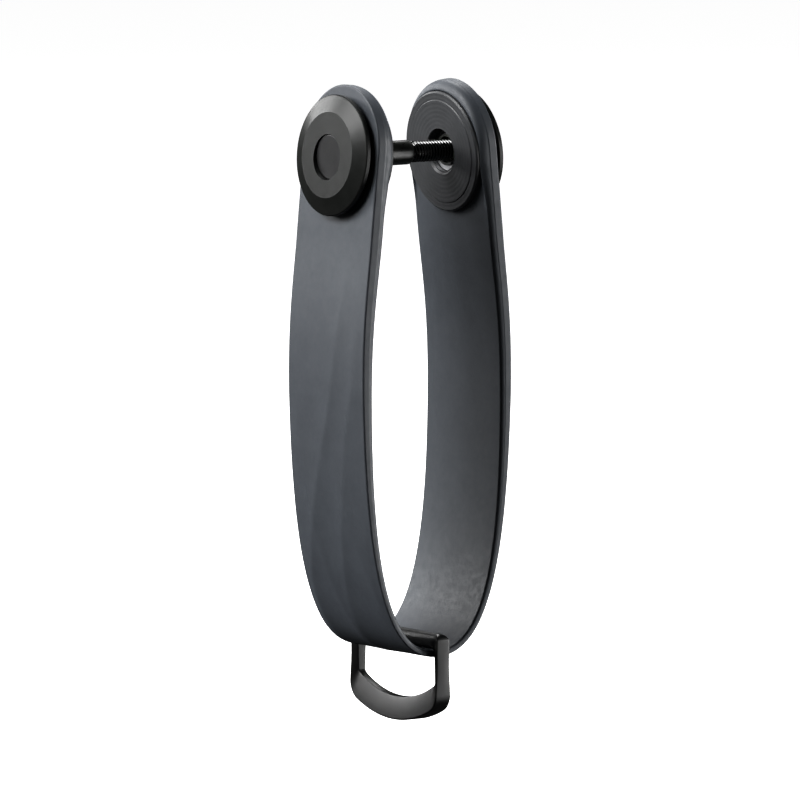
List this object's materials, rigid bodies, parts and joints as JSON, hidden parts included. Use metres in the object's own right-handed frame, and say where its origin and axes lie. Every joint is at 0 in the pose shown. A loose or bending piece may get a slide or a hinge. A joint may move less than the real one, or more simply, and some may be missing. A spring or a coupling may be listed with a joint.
{
  "type": "key organiser",
  "caption": "Elastomer strap folded into a U, its two round heads joined by a screw post and nut that hold keys, with a swinging ring in the fold.",
  "frame": {"origin": "on the screw's axis, midway between the strap's two heads, with the strap relaxed and the screw's tip just in the nut", "axes": "+X along the screw from its head towards the nut, +Y across the strap, +Z from the fold up to the heads"},
  "size_m": [0.0296, 0.0234, 0.1014],
  "materials": {
    "strap": "matte moulded elastomer, dark slate",
    "lining": "matte moulded elastomer, inner layer",
    "knob": "fine satin, dark neutral grey",
    "flange": "fine turned rings, dark grey",
    "black_steel": "glossy black coated steel",
    "washer": "plain stainless",
    "ring": "matte black powder coat"
  },
  "bodies": {
    "fold": {"strap_fold": "strap", "lining_fold": "lining"},
    "left_arm": {"strap_left_arm": "strap", "lining_left_arm": "lining"},
    "left_head": {"strap_left_head": "strap", "lining_left_head": "lining", "left_knob": "knob", "left_backing_ring": "flange", "left_flange": "flange", "screw_washer": "washer"},
    "screw": {"screw": "black_steel", "screw_clip": "washer"},
    "right_arm": {"strap_right_arm": "strap", "lining_right_arm": "lining"},
    "right_head": {"strap_right_head": "strap", "lining_right_head": "lining", "right_knob": "knob", "right_backing_ring": "flange", "right_flange": "flange", "nut_washer": "washer"},
    "nut": {"nut": "black_steel", "nut_clip": "washer"},
    "ring": {"d_ring": "ring"}
  },
  "joints": [
    {"name": "strap_flex", "type": "hinge", "parent": "fold", "child": "left_arm", "pos_m": [-0.01073, 0, -0.06623], "axis": [0, -1, 0], "range_deg": [-1.1, 8], "stiffness_Nm_per_rad": 0.2},
    {"name": "left_neck_flex", "type": "hinge", "parent": "left_arm", "child": "left_head", "pos_m": [-0.0116, 0, -0.01272], "axis": [0, -1, 0], "range_deg": [-8, 1.1]},
    {"name": "screw_turn", "type": "hinge", "parent": "left_head", "child": "screw", "pos_m": [0, 0, 0], "axis": [1, 0, 0], "continuous": true},
    {"name": "right_flex", "type": "hinge", "parent": "fold", "child": "right_arm", "pos_m": [0.01073, 0, -0.06623], "axis": [0, 1, 0], "range_deg": [-1.1, 8]},
    {"name": "right_neck_flex", "type": "hinge", "parent": "right_arm", "child": "right_head", "pos_m": [0.0116, 0, -0.01272], "axis": [0, 1, 0], "range_deg": [-8, 1.1]},
    {"name": "nut_turn", "type": "hinge", "parent": "right_head", "child": "nut", "pos_m": [0.0091, 0, 0], "axis": [1, 0, 0], "continuous": true},
    {"name": "ring_swing", "type": "hinge", "parent": "fold", "child": "ring", "pos_m": [0, 0, -0.07675], "axis": [0, 1, 0], "range_deg": [-90, 90]}
  ],
  "couplings": [
    {"joint": "right_flex", "follows": "strap_flex", "ratio": 1},
    {"joint": "left_neck_flex", "follows": "strap_flex", "ratio": -1},
    {"joint": "right_neck_flex", "follows": "strap_flex", "ratio": -1}
  ]
}
